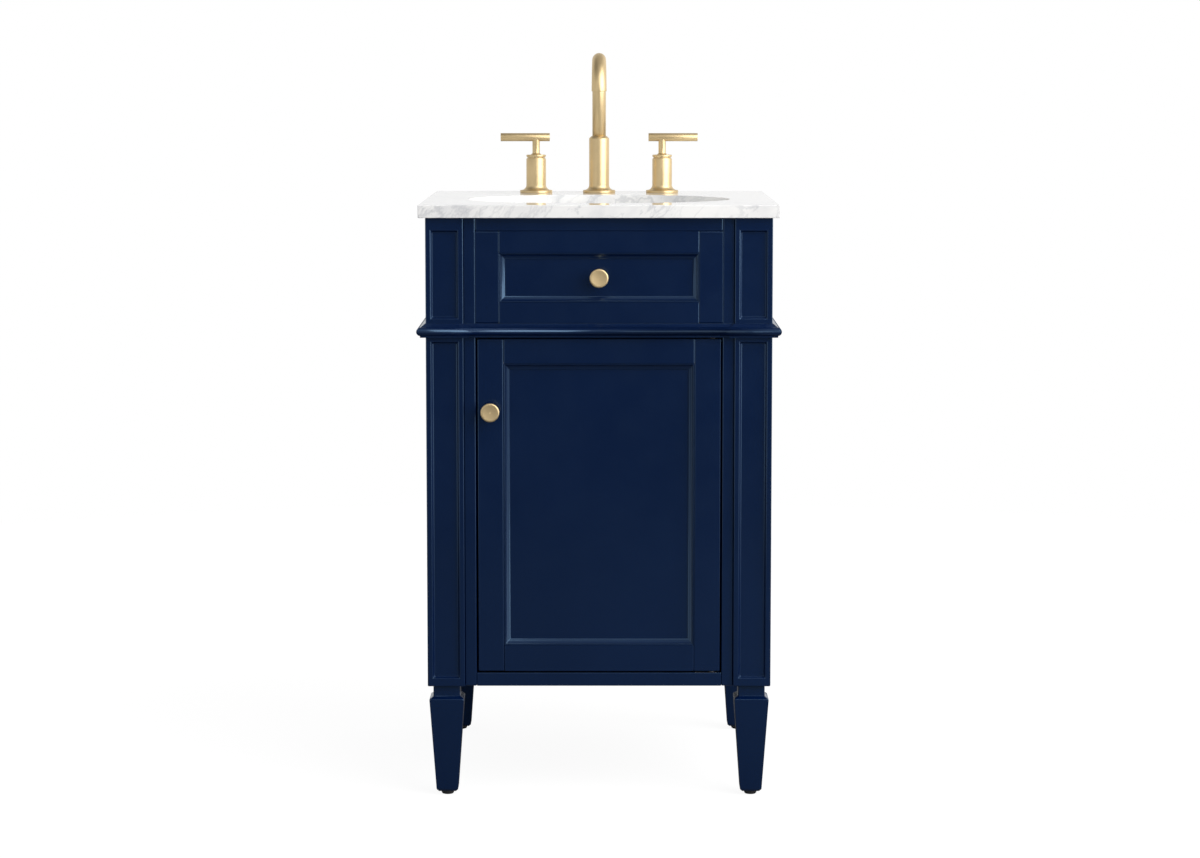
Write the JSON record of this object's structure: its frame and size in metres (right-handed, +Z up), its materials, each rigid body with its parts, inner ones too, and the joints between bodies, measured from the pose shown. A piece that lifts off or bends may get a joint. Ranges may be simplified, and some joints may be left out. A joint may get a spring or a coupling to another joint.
{
  "type": "bathroom vanity cabinet",
  "caption": "Freestanding painted wood vanity on tapered legs, with panelled door, fixed upper front, marble top, undermount oval basin and widespread brass tap set.",
  "frame": {"origin": "on the floor, midway across the cabinet and midway between its foremost point and the wall", "axes": "+Z up, +X to the right as seen from the front, +Y towards the wall"},
  "size_m": [0.5394, 0.557, 1.1129],
  "materials": {
    "navy_lacquer": "semi-gloss navy lacquer",
    "cabinet_interior": "clear-coated pale wood",
    "marble": "polished white marble with grey veins",
    "white_glaze": "glossy glaze",
    "brushed_brass": "brushed satin",
    "steel": "satin",
    "copper": "satin copper",
    "black_rubber": "matte",
    "dark_plastic": "matte",
    "white_plastic": "matte"
  },
  "bodies": {
    "cabinet": {"left_front_post": "navy_lacquer", "right_front_post": "navy_lacquer", "left_rear_post": "navy_lacquer", "right_rear_post": "navy_lacquer", "front_stiles": "navy_lacquer", "front_top_rail": "navy_lacquer", "front_middle_rail": "navy_lacquer", "front_bottom_rail": "navy_lacquer", "side_rails": "navy_lacquer", "side_panels": "navy_lacquer", "side_beads": "navy_lacquer", "back_upper_rail": "cabinet_interior", "back_panel": "cabinet_interior", "bottom_panel": "navy_lacquer", "corner_blocks": "cabinet_interior", "door_stop": "navy_lacquer", "waist_moulding_front": "navy_lacquer", "waist_moulding_sides": "navy_lacquer", "drawer_front_stiles": "navy_lacquer", "drawer_front_rails": "navy_lacquer", "drawer_front_panel": "navy_lacquer", "drawer_front_bead": "navy_lacquer", "drawer_knob": "brushed_brass", "drawer_knob_screw": "steel", "left_front_leg": "navy_lacquer", "right_front_leg": "navy_lacquer", "left_rear_leg": "navy_lacquer", "right_rear_leg": "navy_lacquer", "leg_bolts": "steel", "floor_glides": "dark_plastic", "stone_top": "marble", "basin": "white_glaze", "basin_clips": "steel", "spout_base": "brushed_brass", "left_valve_body": "brushed_brass", "right_valve_body": "brushed_brass", "tap_washers": "black_rubber", "tap_nuts": "brushed_brass", "link_tubes": "copper", "drain_body": "brushed_brass", "drain_gasket": "black_rubber", "drain_nut": "brushed_brass", "drain_tailpiece": "brushed_brass", "frame_pivots": "steel", "pivot_washers": "dark_plastic", "magnetic_catch": "white_plastic"},
    "door": {"door_left_stile": "navy_lacquer", "door_right_stile": "navy_lacquer", "door_rails": "navy_lacquer", "door_panel": "navy_lacquer", "door_bead": "navy_lacquer", "door_knob": "brushed_brass", "door_knob_screw": "steel", "door_pivot_plates": "steel", "catch_plate": "steel"},
    "spout_arm": {"spout": "brushed_brass", "aerator": "steel"},
    "left_handle": {"left_lever": "brushed_brass"},
    "right_handle": {"right_lever": "brushed_brass"},
    "waste_stopper": {"drain_stopper": "brushed_brass"}
  },
  "joints": [
    {"name": "door_hinge", "type": "hinge", "parent": "cabinet", "child": "door", "pos_m": [0.1685, -0.24645, 0.441], "axis": [0, 0, 1], "range_deg": [0, 105]},
    {"name": "left_handle_turn", "type": "hinge", "parent": "cabinet", "child": "left_handle", "pos_m": [-0.1016, 0.20445, 0.95], "axis": [0, 0, 1], "range_deg": [0, 90]},
    {"name": "right_handle_turn", "type": "hinge", "parent": "cabinet", "child": "right_handle", "pos_m": [0.1016, 0.20445, 0.95], "axis": [0, 0, 1], "range_deg": [-90, 0]},
    {"name": "spout_swivel", "type": "hinge", "parent": "cabinet", "child": "spout_arm", "pos_m": [0, 0.20445, 0.96], "axis": [0, 0, 1], "range_deg": [-60, 60]},
    {"name": "stopper_lift", "type": "slide", "parent": "cabinet", "child": "waste_stopper", "axis": [0, 0, 1], "range_m": [0, 0.008]}
  ]
}
